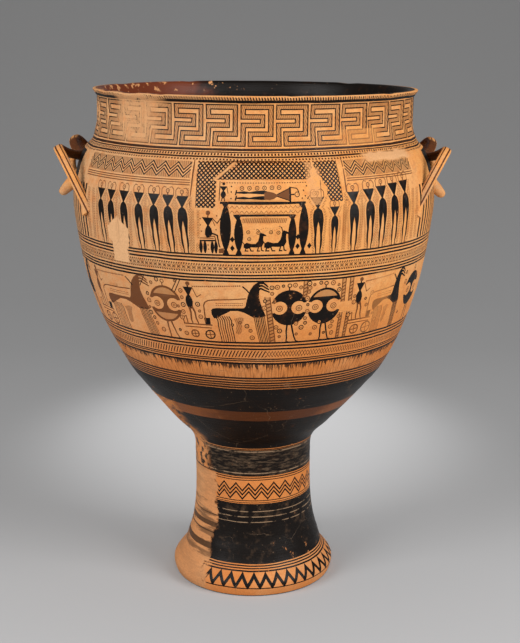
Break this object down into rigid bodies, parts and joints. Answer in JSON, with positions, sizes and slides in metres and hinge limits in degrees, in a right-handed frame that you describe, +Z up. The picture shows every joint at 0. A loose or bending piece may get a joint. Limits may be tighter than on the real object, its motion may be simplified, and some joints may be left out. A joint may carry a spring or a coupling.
{
  "type": "painted pottery krater",
  "caption": "Deep round mixing bowl with an upright neck and two double-loop handles on a tall hollow flaring foot, of fired clay painted with bands and figures.",
  "frame": {"origin": "middle of the base, on the surface that the foot ring stands on", "axes": "+Z up along the height, -Y towards the front with the main picture, X through the two handles"},
  "size_m": [0.8324, 0.772, 1.0852],
  "materials": {
    "fired_clay": "orange-buff fired clay painted with dark brown to black slip, satin with a dull sheen on the slip"
  },
  "bodies": {
    "root": {"krater": "fired_clay"}
  },
  "joints": []
}
